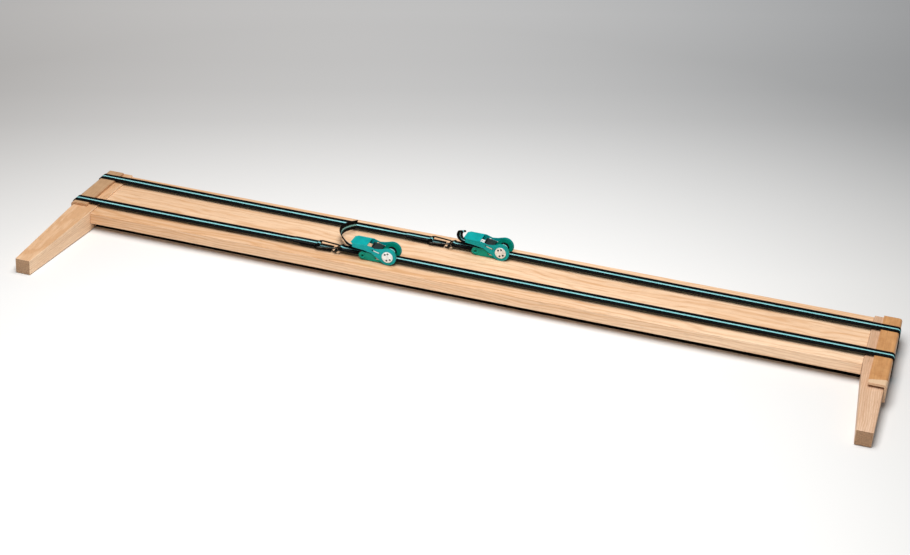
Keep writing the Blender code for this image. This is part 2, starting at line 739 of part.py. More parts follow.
def make_handle(tag, ratchet):
    """The handle: a channel bent from sheet, open at its window and round its hub."""
    side = [
        (HANDLE_END, HANDLE_TOP),
        (HANDLE_END, 0.0092),
        (-0.0570, 0.0062),
        (-0.0370, 0.0022),
        (-0.0250, -0.0058),
        (-0.0160, -0.0118),
        *arc(0, 0, HANDLE_HUB, -118, 100, 28),
        (-0.0180, 0.0146),
        (-0.0300, 0.0128),
        (WINDOW_X + 0.0040, HANDLE_TOP),
    ]
    wide = HANDLE_INSIDE + PLATE
    handle = ease_edges(flat(f"{tag}_handle", [side], 2 * wide), 0.0007)
    seat = SPRING_SEAT_X
    hollow = [
        (-0.10, -0.04),
        (0.04, -0.04),
        (0.04, 0.04),
        (WINDOW_X, 0.04),
        (WINDOW_X, HANDLE_TOP - PLATE),
        (seat, HANDLE_TOP - PLATE),
        (seat, 0.0088),
        (seat - 0.0014, 0.0088),
        (seat - 0.0014, HANDLE_TOP - PLATE),
        (-0.10, HANDLE_TOP - PLATE),
    ]
    boolean(handle, flat(f"{tag}_hollow", [hollow], 2 * HANDLE_INSIDE), "DIFFERENCE")
    bore = flat(f"{tag}_bore", [circle(0, 0, SHAFT_RADIUS + 0.0006, 24)], 0.1)
    boolean(handle, bore, "DIFFERENCE")
    slot = oblong(-0.0385, -0.0175, -PAWL_THICKNESS / 2 - 0.0004, PAWL_THICKNESS / 2 + 0.0004)
    slot = turned(slot, -PAWL_ANGLE)
    boolean(handle, flat(f"{tag}_slot", [slot], 0.1), "DIFFERENCE")
    corner = 0.007
    for way in (-1, 1):
        plan = [
            (HANDLE_END - 0.001, way * (wide - corner)),
            (HANDLE_END - 0.001, way * (wide + 0.001)),
            (HANDLE_END + corner, way * (wide + 0.001)),
        ]
        cut = as_mesh(outline(f"{tag}_corner_{way}", [plan], 0.1, "XY"))
        boolean(handle, cut, "DIFFERENCE")
    add(show(handle), "handle", ratchet)


def make_handle_pawl(tag, ratchet):
    """The handle's pawl, with a finger lip bent up into the window, and its spring."""
    body, back = 0.0208, 0.0420
    ears, slots = HANDLE_INSIDE - 0.0004, HANDLE_INSIDE + PLATE - 0.0003
    inner = WHEEL_INSIDE + 0.0001
    side = [
        (back, ears - 0.004),
        (0.0345, ears - 0.0005),
        (0.0335, slots),
        (0.0200, slots),
        (0.0200, ears),
        (HANDLE_TIP, ears),
        (HANDLE_TIP, inner),
        (body, inner),
    ]
    half = [(-u, y) for u, y in side]
    plan = half + [(x, -y) for x, y in half[::-1]]
    pawl = as_mesh(outline(f"{tag}_handle_pawl", [plan], PAWL_THICKNESS, "XY"))
    lip = block(f"{tag}_finger_lip", (-back + 0.0003, -0.009, 0), (-back + 0.0017, 0.009, 0.0062))
    boolean(pawl, lip, "UNION")
    pawl.rotation_euler.y = PAWL_ANGLE
    add(show(pawl), "steel", ratchet)
    make_spring(f"{tag}_handle_spring", (SPRING_SEAT_X + 0.0008, 0.0118), -0.0416, 5, ratchet)


def make_ratchet(tag, line, x, z):
    ratchet = bpy.data.objects.new(f"{tag}_ratchet", None)
    PARTS.objects.link(ratchet)
    ratchet.parent = line
    ratchet.location = (x, 0, z)
    make_frame(tag, ratchet)
    make_rivet(tag, ratchet)
    make_spindle(tag, ratchet)
    make_lock(tag, ratchet)
    make_handle(tag, ratchet)
    make_handle_pawl(tag, ratchet)
    make_hook(tag, ratchet)
    make_ring(tag, ratchet)
    short_webbing(tag, ratchet)
    hook_webbing(tag, ratchet)
    tail = loose_tail if tag == "front" else curled_tail
    tail(tag, ratchet)


def make_strap(tag):
    y, yaw, x, z = STRAPS[tag]
    line = bpy.data.objects.new(f"{tag}_strap", None)
    PARTS.objects.link(line)
    line.location.y = y
    line.rotation_euler.z = yaw
    make_long_webbing(tag, line, x, z)
    make_ratchet(tag, line, x, z)


make_rail()
make_leg(-1, "left")
make_leg(1, "right")
make_dowels()
make_caul(-1, "left", LEFT_CAUL_Y)
make_caul(1, "right", RIGHT_CAUL_Y)
make_strap("front")
make_strap("back")
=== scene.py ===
"""Oak bench side frame held by two ratchet straps: materials, webbing, light and camera."""

import json
import math

import bmesh
import bpy
from mathutils import Matrix, Vector


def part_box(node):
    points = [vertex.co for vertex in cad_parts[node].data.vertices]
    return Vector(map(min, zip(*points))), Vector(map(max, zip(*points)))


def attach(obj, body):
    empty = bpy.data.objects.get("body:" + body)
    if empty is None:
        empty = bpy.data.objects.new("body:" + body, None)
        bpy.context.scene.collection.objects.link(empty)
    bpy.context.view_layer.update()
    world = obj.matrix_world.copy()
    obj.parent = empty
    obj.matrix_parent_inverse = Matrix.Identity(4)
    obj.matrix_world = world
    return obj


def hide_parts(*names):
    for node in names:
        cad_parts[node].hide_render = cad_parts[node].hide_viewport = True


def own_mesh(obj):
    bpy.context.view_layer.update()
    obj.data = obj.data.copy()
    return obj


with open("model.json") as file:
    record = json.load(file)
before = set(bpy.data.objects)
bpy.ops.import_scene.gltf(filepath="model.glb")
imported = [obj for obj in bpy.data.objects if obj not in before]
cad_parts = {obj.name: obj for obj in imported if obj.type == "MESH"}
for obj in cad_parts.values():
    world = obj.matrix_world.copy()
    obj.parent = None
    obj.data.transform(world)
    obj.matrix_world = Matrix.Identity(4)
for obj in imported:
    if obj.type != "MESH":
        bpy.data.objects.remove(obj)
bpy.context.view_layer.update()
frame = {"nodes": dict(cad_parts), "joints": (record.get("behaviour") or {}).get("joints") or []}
NODES = frame["nodes"]
SCENE = bpy.context.scene
UP = Vector((0, 0, 1))
TAGS = ("front", "back")

# ---------------------------------------------------------------- camera

AZIMUTH, ELEVATION, ROLL = (math.radians(a) for a in (-15.847, 27.292, -3.580))
CAMERA_PLACE = Vector((0.977, -3.444, 1.915))
LENS, SENSOR_WIDTH = 76.386, 36  # millimetres
NEAREST, FARTHEST = 0.05, 60  # metres that it sees


def make_camera():
    """A camera above the frame's front right, looking down and slightly rolled."""
    ahead = Vector(
        (
            math.sin(AZIMUTH) * math.cos(ELEVATION),
            math.cos(AZIMUTH) * math.cos(ELEVATION),
            -math.sin(ELEVATION),
        )
    )
    right = ahead.cross(UP).normalized()
    down = ahead.cross(right)
    cosine, sine = math.cos(ROLL), math.sin(ROLL)
    turned_right = cosine * right + sine * down
    turned_down = cosine * down - sine * right
    turn = Matrix((turned_right, -turned_down, -ahead)).transposed()
    lens = bpy.data.cameras.new("camera")
    lens.lens = LENS
    lens.sensor_width = SENSOR_WIDTH
    lens.clip_start, lens.clip_end = NEAREST, FARTHEST
    camera = bpy.data.objects.new("camera", lens)
    camera.matrix_world = Matrix.Translation(CAMERA_PLACE) @ turn.to_4x4()
    SCENE.collection.objects.link(camera)
    SCENE.camera = camera


# ---------------------------------------------------------------- material helper


class Shader:
    """A Principled material with short calls for the nodes used here."""

    def __init__(self, name, **values):
        self.material = bpy.data.materials.new(name)
        self.material.use_nodes = True
        self.tree = self.material.node_tree
        self.surface = self.tree.nodes["Principled BSDF"]
        for socket, value in values.items():
            self.surface.inputs[socket.replace("_", " ")].default_value = value

    def feed(self, socket, value):
        """Links a socket into another one, or sets a number or colour on it."""
        if isinstance(value, bpy.types.NodeSocket):
            self.tree.links.new(value, socket)
        elif isinstance(value, tuple) and len(value) == 3 and socket.type == "RGBA":
            socket.default_value = (*value, 1)
        else:
            socket.default_value = value

    def node(self, kind, inputs=(), **settings):
        """A new node with its inputs fed and its settings made."""
        made = self.tree.nodes.new(kind)
        for key, value in settings.items():
            setattr(made, key, value)
        for key, value in dict(inputs).items():
            self.feed(made.inputs[key], value)
        return made

    def math(self, operation, *values, clamp=False):
        made = self.node("ShaderNodeMath", operation=operation, use_clamp=clamp)
        for socket, value in zip(made.inputs, values):
            self.feed(socket, value)
        return made.outputs[0]

    def length(self, a, b):
        """Length of the flat vector (a, b)."""
        squares = [self.math("MULTIPLY", v, v) for v in (a, b)]
        return self.math("SQRT", self.math("ADD", *squares))

    def coordinates(self, kind):
        """The three parts of one of the piece's texture coordinates."""
        found = self.node("ShaderNodeTexCoord").outputs[kind]
        return self.node("ShaderNodeSeparateXYZ", {0: found}).outputs[:]

    def object_xyz(self):
        return self.coordinates("Object")

    def vector(self, x, y, z):
        return self.node("ShaderNodeCombineXYZ", {0: x, 1: y, 2: z}).outputs[0]

    def scaled(self, xyz, scales, shift=0.0):
        """A point stretched along each axis by its own scale, then moved by shift."""
        parts = [self.math("MULTIPLY_ADD", v, s, shift) for v, s in zip(xyz, scales)]
        return self.vector(*parts)

    def noise(self, place, scale=1.0, detail=2.0, rough=0.5):
        inputs = {"Vector": place, "Scale": scale, "Detail": detail, "Roughness": rough}
        return self.node("ShaderNodeTexNoise", inputs).outputs[0]

    def between(self, value, low, high, out_low=0.0, out_high=1.0):
        """The value mapped from low and high to out_low and out_high, and held beyond them."""
        inputs = {0: value, 1: low, 2: high, 3: out_low, 4: out_high}
        return self.node("ShaderNodeMapRange", inputs).outputs[0]

    def mix(self, share, first, second, blend="MIX"):
        """A colour that goes from first to second as share goes from 0 to 1."""
        made = self.node("ShaderNodeMix", data_type="RGBA", blend_type=blend)
        for key, value in ((0, share), (6, first), (7, second)):
            self.feed(made.inputs[key], value)
        return made.outputs[2]

    def reach(self, hub):
        """Distance from an axis along Y through the point hub, in the piece's own frame."""
        x, _, z = self.object_xyz()
        return self.length(self.math("SUBTRACT", x, hub.x), self.math("SUBTRACT", z, hub.z))

    def facing_side(self):
        """1 on faces square to Y, 0 on the others."""
        y = self.coordinates("Normal")[1]
        return self.between(self.math("ABSOLUTE", y), 0.5, 0.8)

    def hard_edge(self, radius, low, high):
        """From 0, where a rounded normal agrees with the true one by low, to 1, by high."""
        rounded = self.node("ShaderNodeBevel", {"Radius": radius}, samples=4).outputs[0]
        true = self.node("ShaderNodeNewGeometry").outputs["Normal"]
        both = {0: rounded, 1: true}
        agree = self.node("ShaderNodeVectorMath", both, operation="DOT_PRODUCT")
        return self.between(agree.outputs["Value"], low, high)

    def attribute(self, name):
        """A number stored on the mesh."""
        return self.node("ShaderNodeAttribute", attribute_name=name).outputs["Fac"]

    def bump(self, height, distance):
        inputs = {"Height": height, "Distance": distance}
        return self.node("ShaderNodeBump", inputs).outputs[0]

    def done(self, colour=None, roughness=None, bump=None):
        """The finished material."""
        for key, value in (("Base Color", colour), ("Roughness", roughness), ("Normal", bump)):
            if value is not None:
                self.feed(self.surface.inputs[key], value)
        return self.material


def srgb(r, g, b):
    """A colour given as 0 to 255 on screen, as the shader wants it."""
    return tuple(
        ((v / 255 + 0.055) / 1.055) ** 2.4 if v > 10 else v / 3294.6 for v in (r, g, b)
    )


# ---------------------------------------------------------------- colours

END_LIGHT, END_DARK = srgb(182, 140, 102), srgb(104, 72, 46)
PORE_BROWN = srgb(126, 84, 52)
BEECH_LIGHT, BEECH_DARK = srgb(222, 184, 142), srgb(200, 156, 112)
BEECH_FLECK = srgb(160, 108, 70)
LEFT_PAPER, LEFT_PAPER_WORN = srgb(204, 165, 126), srgb(187, 148, 110)
RIGHT_PAPER, RIGHT_PAPER_WORN = srgb(214, 160, 106), srgb(190, 134, 82)
PAPER_GRAIN = srgb(120, 76, 40)
PAPER_SCUFF = srgb(188, 122, 74)
BARE_LIGHT, BARE_DARK = srgb(228, 198, 164), srgb(204, 168, 134)
# Webbing tones: darker in the weave's hollows as painted shade, lighter on the yarns' crowns as
# painted highlight.
BLACK_HOLLOW_SHADE, BLACK_CROWN_HIGHLIGHT = (0.0004, 0.0004, 0.0005), (0.0036, 0.0038, 0.0041)
STRIPE_HOLLOW_SHADE, STRIPE_CROWN_HIGHLIGHT = srgb(56, 136, 142), srgb(146, 222, 226)
# near-white patches on the stripe: painted highlight standing for glints
STRIPE_GLINT = srgb(212, 242, 242)
DUST = srgb(150, 140, 128)
THREAD_DARK, THREAD_LIGHT = srgb(34, 36, 38), srgb(70, 74, 76)
FRAME_GREEN, FRAME_GREEN_DEEP = srgb(0, 158, 134), srgb(0, 138, 118)
HANDLE_BLUE, HANDLE_BLUE_DEEP = srgb(0, 164, 163), srgb(0, 148, 148)
RUBBED_STEEL = srgb(170, 172, 168)
# painted shade on the handle's hub, seen through the end disc's holes
HUB_SHADE = srgb(14, 18, 18)
DISC_LIGHT, DISC_DARK = srgb(250, 252, 250), srgb(218, 220, 216)
# painted shade inside the end discs' holes
HOLE_SHADE = srgb(18, 20, 20)
# pawl tones: pale beyond the handle's sides as painted highlight, dark between them as painted
# shade
PAWL_LIT, PAWL_LIT_DEEP = srgb(240, 240, 236), srgb(205, 205, 200)
PAWL_SHADED, PAWL_SHADED_DEEP = srgb(64, 78, 78), srgb(40, 50, 50)
ZINC, DULL_ZINC, BRIGHT_ZINC = (205, 205, 200), (74, 74, 70), (228, 228, 224)  # as for srgb


# ---------------------------------------------------------------- materials

# Scales of the oak's patterns along the grain, across it and through it, per metre.
BROAD, WARP = (0.9, 14.0, 14.0), (1.6, 7.0, 7.0)
FIBRE, STREAK, PORE = (9.0, 520.0, 520.0), (2.2, 95.0, 95.0), (42.0, 1500.0, 1500.0)
RING_WARP = 0.050  # how far the growth rings wander


def growth_rings(s, rest, shift, pith, ring):
    """1 in the dark late wood of each ring, round a pith that runs along the grain."""
    warp = s.noise(s.scaled(rest, WARP, shift * 2), detail=4.0, rough=0.6)
    side = s.math("SUBTRACT", rest[1], pith[0])
    depth = s.math("SUBTRACT", rest[2], pith[1])
    radius = s.math("ADD", s.length(side, depth), s.math("MULTIPLY", warp, RING_WARP))
    wave = s.math("SINE", s.math("MULTIPLY", radius, 2 * math.pi / ring))
    return s.math("POWER", s.between(wave, -1.0, 1.0), 3.0)


def oak_tone(s, rest, fibre, late, shift, deepen):
    """How dark the wood is: rings, fibres, streaks, broad patches and its darker end."""
    broad = s.noise(s.scaled(rest, BROAD, shift), detail=3.0)
    streak = s.noise(s.scaled(rest, STREAK, shift * 3), detail=3.0, rough=0.6)
    tone = s.math("MULTIPLY_ADD", late, 0.34, s.between(fibre, 0.3, 0.7, 0.0, 0.30))
    tone = s.math("ADD", tone, s.between(streak, 0.35, 0.70, 0.0, 0.34))
    tone = s.math("ADD", tone, s.between(broad, 0.35, 0.65, -0.12, 0.22))
    return s.math("ADD", tone, s.between(rest[0], *deepen, 0.38, 0.0))


def oak(name, grain, light, dark, shift, pith, ring, deepen, top=0.0):
    """Planed oak as a solid: growth rings round a pith, fibres and pores along the grain.

    The wood darkens from deepen[1] to deepen[0] along the grain, and its upper face is darkened by
    top as painted shade.
    """
    s = Shader(name, Specular_IOR_Level=0.35)
    x, y, z = s.object_xyz()
    facing = s.coordinates("Normal")
    end = s.between(s.math("ABSOLUTE", facing[0 if grain == "X" else 1]), 0.75, 0.95)
    # painted shade: the face turned up is darkened by the share top
    upper = s.between(facing[2], 0.6, 0.9, 0.0, top)
    rest = (x, y, z) if grain == "X" else (y, x, z)
    fibre = s.noise(s.scaled(rest, FIBRE, shift), detail=3.0, rough=0.65)
    late = growth_rings(s, rest, shift, pith, ring)
    tone = oak_tone(s, rest, fibre, late, shift, deepen)
    colour = s.mix(s.math("ADD", tone, upper, clamp=True), light, dark)
    speck = s.noise(s.vector(x, y, z), 900.0, 3.0, 0.7)
    sawn = s.mix(s.between(speck, 0.42, 0.60), END_LIGHT, END_DARK)
    colour = s.mix(s.math("MULTIPLY", end, 0.85), colour, sawn)
    pores = s.between(s.noise(s.scaled(rest, PORE, shift), detail=1.0), 0.60, 0.70)
    colour = s.mix(s.math("MULTIPLY", pores, 0.30), colour, PORE_BROWN)
    rough = s.between(fibre, 0.3, 0.7, 0.50, 0.64)
    height = s.math("SUBTRACT", s.math("MULTIPLY", fibre, 0.5), pores)
    return s.done(colour, rough, s.bump(height, 0.00012))


def beech(name):
    """Beech with fine fibres and short darker flecks."""
    s = Shader(name)
    xyz = s.object_xyz()
    fibre = s.noise(s.scaled(xyz, (20.0, 900.0, 900.0)), detail=2.0)
    fleck = s.between(s.noise(s.scaled(xyz, (160.0, 1200.0, 1200.0), 4.0)), 0.62, 0.68)
    colour = s.mix(fibre, BEECH_LIGHT, BEECH_DARK)
    colour = s.mix(s.math("MULTIPLY", fleck, 0.5), colour, BEECH_FLECK)
    return s.done(colour, s.between(fibre, 0.3, 0.7, 0.5, 0.65), s.bump(fibre, 0.00008))


BARE_TO = -0.290  # along Y, where the right caul's bare end begins
BARE_SLANT, BARE_RAGGED, BARE_SOFT = -0.27, 0.003, 0.0012  # of the bare end's border


def caul(name, face, worn, bare_to=None):
    """Moulding faced with brown paper, scuffed at its corner, and bare in front of bare_to."""
    s = Shader(name, Specular_IOR_Level=0.4)
    x, y, z = s.object_xyz()
    place = s.vector(x, y, z)
    cloud = s.noise(place, 38.0, 4.0, 0.6)
    grain = s.noise(s.scaled((x, y, z), (420.0, 16.0, 420.0), 2.0), detail=3.0, rough=0.6)
    colour = s.mix(s.between(cloud, 0.3, 0.7), face, worn)
    colour = s.mix(s.between(grain, 0.35, 0.75, 0.0, 0.35), colour, PAPER_GRAIN)
    if bare_to is not None:
        slant = s.math("MULTIPLY_ADD", s.math("ABSOLUTE", x), BARE_SLANT, y)
        edge = s.math("MULTIPLY_ADD", s.noise(place, 220.0), BARE_RAGGED, slant)
        bare = s.between(edge, bare_to, bare_to - BARE_SOFT)
        colour = s.mix(bare, colour, s.mix(grain, BARE_LIGHT, BARE_DARK))
    corner = s.hard_edge(0.0035, 0.995, 0.90)
    scuff = s.math("MULTIPLY", corner, s.between(cloud, 0.35, 0.6, 0.25, 0.8))
    colour = s.mix(scuff, colour, PAPER_SCUFF)
    rough = s.between(cloud, 0.3, 0.7, 0.34, 0.55)
    return s.done(colour, rough, s.bump(grain, 0.00015))


YARN, PICK = 0.00092, 0.0021  # width of a warp yarn and length of its float
STRIPE = 0.0022  # half width of the coloured stripe
STRIPE_RAGGED, STRIPE_SOFT = 0.0005, 0.0001  # of its border
FAINT_STRIPE = 0.35  # strength of the stripe on the flaps


def weave_height(s, across, along):
    """Height of the warp yarns, from 0 between them to 1, each half a float from the next."""
    yarn = s.math("DIVIDE", across, YARN)
    odd = s.math("MULTIPLY", s.math("PINGPONG", s.math("FLOOR", yarn), 1.0), 0.5)
    pick = s.math("ADD", s.math("DIVIDE", along, PICK), odd)
    waves = [s.math("SINE", s.math("MULTIPLY", v, math.pi)) for v in (pick, yarn)]
    return s.math("MULTIPLY", *(s.math("SQRT", s.math("ABSOLUTE", v)) for v in waves))


def webbing(name, stripe=1.0):
    """Black woven polyester with a turquoise stripe down its middle, faint where stripe is low."""
    s = Shader(name, Specular_IOR_Level=0.06)
    across, along = s.attribute("across"), s.attribute("along")
    weave = weave_height(s, across, along)
    place = s.vector(s.math("MULTIPLY", across, 900.0), s.math("MULTIPLY", along, 60.0), 0.0)
    uneven = s.noise(place, 1.0, 3.0, 0.6)
    # painted shade in the weave's hollows and painted highlight on its crowns
    dark = s.mix(s.between(weave, 0.15, 0.8), BLACK_HOLLOW_SHADE, BLACK_CROWN_HIGHLIGHT)
    bright = s.mix(s.between(weave, 0.1, 0.7), STRIPE_HOLLOW_SHADE, STRIPE_CROWN_HIGHLIGHT)
    # painted glints on the stripe
    bright = s.mix(s.between(uneven, 0.45, 0.75, 0.0, 0.6), bright, STRIPE_GLINT)
    edge = s.math("MULTIPLY_ADD", uneven, STRIPE_RAGGED, s.math("ABSOLUTE", across))
    inside = s.between(edge, STRIPE + STRIPE_RAGGED, STRIPE + STRIPE_SOFT, 0.0, stripe)
    dust = s.between(s.noise(place, 0.13, 4.0, 0.65), 0.5, 0.8, 0.0, 0.018)
    colour = s.mix(dust, s.mix(inside, dark, bright), DUST)
    rough = s.between(uneven, 0.3, 0.7, 0.62, 0.82)
    return s.done(colour, rough, s.bump(weave, 0.00030))


def thread(name):
    """Grey twisted sewing thread."""
    s = Shader(name, Sheen_Weight=0.4)
    twist = s.noise(s.scaled(s.object_xyz(), (5200.0, 2600.0, 2600.0)), detail=1.0)
    colour = s.mix(twist, THREAD_DARK, THREAD_LIGHT)
    return s.done(colour, s.between(twist, 0.3, 0.7, 0.5, 0.7), s.bump(twist, 0.0001))


HANDLE_INSIDE = 0.0184  # from the strap's middle to the handle's sides
HUB_SHADE_RADIUS = 0.0102  # of the painted shade ring on the handle's hub, behind the end disc
BORDER = 0.0006  # over which the painted shade on the hub and in the disc holes, and the pawl's painted shade and highlight, begin
SCRATCHES = (2600.0, 180.0, 900.0)  # scales of the scratches in plated steel, per metre


def lacquer(name, colour, deep, hub=None):
    """Lacquered sheet steel: slight orange peel, bare at rubbed edges, with painted shade round
    its hub.
    """
    s = Shader(name, Specular_IOR_Level=0.18)
    place = s.vector(*s.object_xyz())
    peel = s.noise(place, 900.0, 2.0)
    cloud = s.noise(place, 70.0, 4.0, 0.6)
    speck = s.noise(place, 620.0, 3.0, 0.7)
    edge = s.hard_edge(0.0006, 0.97, 0.85)
    worn = s.math("MULTIPLY", edge, s.between(speck, 0.54, 0.60))
    base = s.mix(s.between(cloud, 0.35, 0.65), colour, deep)
    base = s.mix(worn, base, RUBBED_STEEL)
    if hub is not None:
        # painted shade: a dark ring on the hub behind the end disc, for shade seen through its
        # holes
        hub_shade = s.between(s.reach(hub), HUB_SHADE_RADIUS, HUB_SHADE_RADIUS - BORDER)
        base = s.mix(hub_shade, base, HUB_SHADE)
    rough = s.math("ADD", s.between(cloud, 0.3, 0.7, 0.26, 0.40), s.math("MULTIPLY", worn, 0.2))
    s.feed(s.surface.inputs["Metallic"], s.math("MULTIPLY", worn, 0.9))
    return s.done(base, rough, s.bump(peel, 0.00006))


def zinc(name, tint, dark=0.82):
    """Zinc-plated steel: spangled, a little dull, with fine scratches."""
    s = Shader(name, Metallic=1.0)
    xyz = s.object_xyz()
    cloud = s.noise(s.vector(*xyz), 160.0, 3.0, 0.6)
    scratch = s.noise(s.scaled(xyz, SCRATCHES), detail=2.0)
    colour = s.mix(s.between(cloud, 0.35, 0.65), srgb(*tint), srgb(*(v * dark for v in tint)))
    rough = s.between(cloud, 0.3, 0.7, 0.22, 0.42)
    return s.done(colour, rough, s.bump(scratch, 0.00005))


def disc_steel(name, hub):
    """Pale plated steel of the end discs, scratched, with painted shade on the walls of their
    holes.
    """
    s = Shader(name, Metallic=0.25, Specular_IOR_Level=0.4)
    xyz = s.object_xyz()
    cloud = s.noise(s.vector(*xyz), 210.0, 4.0, 0.65)
    scratch = s.noise(s.scaled(xyz, SCRATCHES), detail=2.0)
    colour = s.mix(s.between(cloud, 0.38, 0.62), DISC_LIGHT, DISC_DARK)
    # painted shade on the hole walls
    inside = s.between(s.reach(hub), HUB_SHADE_RADIUS + BORDER, HUB_SHADE_RADIUS)
    wall = s.math("MULTIPLY", inside, s.math("SUBTRACT", 1.0, s.facing_side()))
    colour = s.mix(wall, colour, HOLE_SHADE)
    rough = s.between(cloud, 0.3, 0.7, 0.34, 0.52)
    return s.done(colour, rough, s.bump(scratch, 0.00006))


def pawl_steel(name, middle, half):
    """Plated steel, darkened between the handle's sides as painted shade, and pale where it passes
    through them, painted brighter as highlight.
    """
    s = Shader(name, Metallic=0.6)
    xyz = s.object_xyz()
    cloud = s.noise(s.vector(*xyz), 160.0, 3.0, 0.6)
    from_middle = s.math("ABSOLUTE", s.math("SUBTRACT", xyz[1], middle))
    bright = s.mix(cloud, PAWL_LIT, PAWL_LIT_DEEP)
    dark = s.mix(cloud, PAWL_SHADED, PAWL_SHADED_DEEP)
    # painted shade between the handle's sides, painted highlight beyond them
    colour = s.mix(s.between(from_middle, half - BORDER, half), dark, bright)
    return s.done(colour, s.between(cloud, 0.3, 0.7, 0.30, 0.46))


# Painted shade of the floor, for light that falls off, from the object (0) to well behind it (1).
PAINTED_FLOOR_SHADES = (
    (0.05, 0.893),
    (0.18, 0.845),
    (0.27, 0.805),
    (0.36, 0.755),
    (0.455, 0.698),
    (0.555, 0.640),
    (0.67, 0.622),
    (0.785, 0.645),
    (1.00, 0.740),
)
SHADED_DEPTH = 2.0  # metres from the object that the shades reach
DEPTH_SKEW, SIDE_SKEW = -0.475, 0.318  # turn the floor's axes away from the object's
# The floor darkens with the square of the distance aside, from a line left of the middle, as
# painted shade.
SIDE_SHIFT, SIDE_FALL, SIDE_LEAST = 0.25, -0.13, 0.60
# painted light: the floor glows far from the object, though it is no lamp
GLOW_FROM, GLOW_TO, GLOW = 1.7, 5.0, 0.38  # metres from the object, and strength there
# painted light: tints on the floor, warm towards one side and cool towards the other, neutral near
# the object
WARM, COOL, NEUTRAL = (1.0, 0.975, 0.96), (0.955, 0.975, 1.0), (0.985, 0.98, 0.97)
GLOW_TINT = (0.97, 0.98, 1.0)
CLOUD_GREY = (0.6, 0.6, 0.6)


def floor_ramp(s, depth):
    """The floor's painted shade at each depth."""
    ramp = s.node("ShaderNodeValToRGB", {0: s.between(depth, 0.0, SHADED_DEPTH)})
    while len(ramp.color_ramp.elements) < len(PAINTED_FLOOR_SHADES):
        ramp.color_ramp.elements.new(0.5)
    for stop, (place, shade) in zip(ramp.color_ramp.elements, PAINTED_FLOOR_SHADES):
        stop.position = place
        stop.color = (shade, shade, shade, 1)
    return ramp.outputs[0]


def make_floor_material():
    """Seamless white paper with painted shade behind the object and at its sides, and a painted
    glow far away.
    """
    s = Shader("studio_floor", Roughness=0.9, Specular_IOR_Level=0.2)
    x, y, z = s.object_xyz()
    depth = s.math("MULTIPLY_ADD", x, DEPTH_SKEW, y)
    side = s.math("MULTIPLY_ADD", y, SIDE_SKEW, x)
    aside = s.math("ADD", side, SIDE_SHIFT)
    # painted shade towards the floor's sides
    painted_side_shade = s.math("MULTIPLY_ADD", s.math("MULTIPLY", aside, aside), SIDE_FALL, 1.0)
    painted_side_shade = s.math("MAXIMUM", painted_side_shade, SIDE_LEAST)
    tint = s.mix(s.between(side, -1.2, 1.2), WARM, COOL)
    tint = s.mix(s.between(depth, 0.0, 1.4, 0.0, 0.9), NEUTRAL, tint)
    colour = s.mix(1.0, floor_ramp(s, depth), tint, "MULTIPLY")
    colour = s.mix(1.0, colour, s.vector(painted_side_shade, painted_side_shade, painted_side_shade), "MULTIPLY")
    cloud = s.noise(s.vector(x, y, z), 1.3, 3.0)
    # painted glow on the far floor
    glow = s.between(s.length(x, y), GLOW_FROM, GLOW_TO, 0.0, GLOW)
    s.feed(s.surface.inputs["Emission Color"], GLOW_TINT)
    s.feed(s.surface.inputs["Emission Strength"], glow)
    return s.done(s.mix(s.between(cloud, 0.3, 0.7, 0.0, 0.03), colour, CLOUD_GREY))


# ---------------------------------------------------------------- webbing

WIDTH, THICKNESS = 0.025, 0.0015
# Half of the webbing's section, as shares of its half width and of its half thickness.
SECTION = [(1.0, 0.0), (0.985, 0.62), (0.94, 0.94), (0.60, 1.0), (0.27, 1.0), (0.0, 1.04)]
# Its upper side from edge to edge, and its whole section.
UPPER_SIDE = SECTION + [(-u, v) for u, v in SECTION[-2::-1]]
OUTLINE = UPPER_SIDE + [(u, -v) for u, v in UPPER_SIDE[-2:0:-1]]


def ribbon_rings(work, rows, closed, tip):
    """A ring of vertices round each row's middle, with its place in the weave."""
    across_layer = work.verts.layers.float.new("across")
    along_layer = work.verts.layers.float.new("along")
    distance, rings, count = 0.0, [], len(rows)
    for i, (middle, across) in enumerate(rows):
        before = rows[(i - 1) % count if closed else max(i - 1, 0)][0]
        after = rows[(i + 1) % count if closed else min(i + 1, count - 1)][0]
        if i:
            distance += (middle - rows[i - 1][0]).length
        ahead = (after - before).normalized()
        through = across.cross(ahead).normalized() * THICKNESS / 2
        slant = ahead * tip if i == count - 1 else Vector()
        ring = []
        for u, v in OUTLINE:
            place = middle + across * u * WIDTH / 2 + through * v + slant * (1 - u) / 2
            vert = work.verts.new(place)
            vert[across_layer] = u * WIDTH / 2
            vert[along_layer] = distance
            ring.append(vert)
        rings.append(ring)
    return rings


def join_rings(work, rings, closed=False):
    """Quads from each ring of vertices to the next."""
    last = [(rings[-1], rings[0])] if closed else []
    for a, b in [*zip(rings, rings[1:]), *last]:
        for k in range(len(a)):
            n = (k + 1) % len(a)
            work.faces.new((a[k], a[n], b[n], b[k]))


def close_end(work, ring):
    """Faces across one end of the webbing, from its upper to its lower side."""
    for k in range(len(ring) // 2):
        corners = [ring[k], ring[k + 1], ring[-k - 1], ring[-k if k else 0]]
        corners = list(dict.fromkeys(corners))
        if len(corners) > 2:
            work.faces.new(corners)


def as_object(work, name, material):
    """The finished mesh as a smooth object of one material."""
    bmesh.ops.recalc_face_normals(work, faces=work.faces)
    data = bpy.data.meshes.new(name)
    work.to_mesh(data)
    work.free()
    data.shade_smooth()
    data.materials.append(material)
    made = bpy.data.objects.new(name, data)
    SCENE.collection.objects.link(made)
    return made


